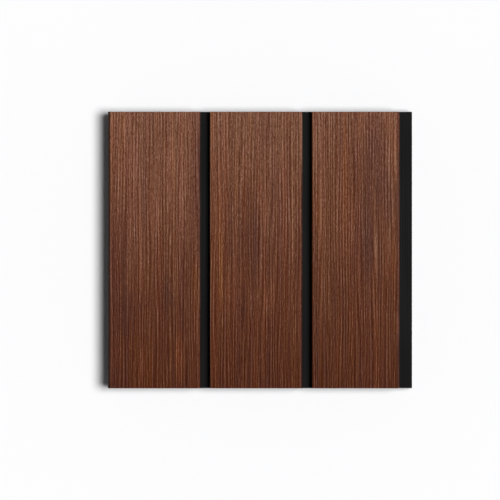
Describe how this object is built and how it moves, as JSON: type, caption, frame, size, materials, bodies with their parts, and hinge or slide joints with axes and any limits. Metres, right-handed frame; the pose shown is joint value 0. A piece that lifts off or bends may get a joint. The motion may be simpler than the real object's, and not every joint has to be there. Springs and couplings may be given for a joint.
{
  "type": "polystyrene wall panel",
  "caption": "Flat wall panel of black foamed polystyrene: raised slats wrapped in walnut-print film, narrow grooves between, and a tongue and rebate that lap with the next panel.",
  "frame": {"origin": "centre of the panel's outline on the glue face, at the back", "axes": "+X across the slats towards the tongue, +Y along the slats, +Z out of the wall, from the glue face to the slat faces"},
  "size_m": [0.122, 0.1108, 0.012],
  "materials": {
    "black_polystyrene": "dense foamed polystyrene, black right through, satin off the die with faint lines along its length",
    "walnut_film": "satin film printed with straight walnut grain and lightly embossed with pores along the slat"
  },
  "bodies": {
    "root": {"panel_core": "black_polystyrene", "slat_film_1": "walnut_film", "slat_film_2": "walnut_film", "slat_film_3": "walnut_film"}
  },
  "joints": []
}
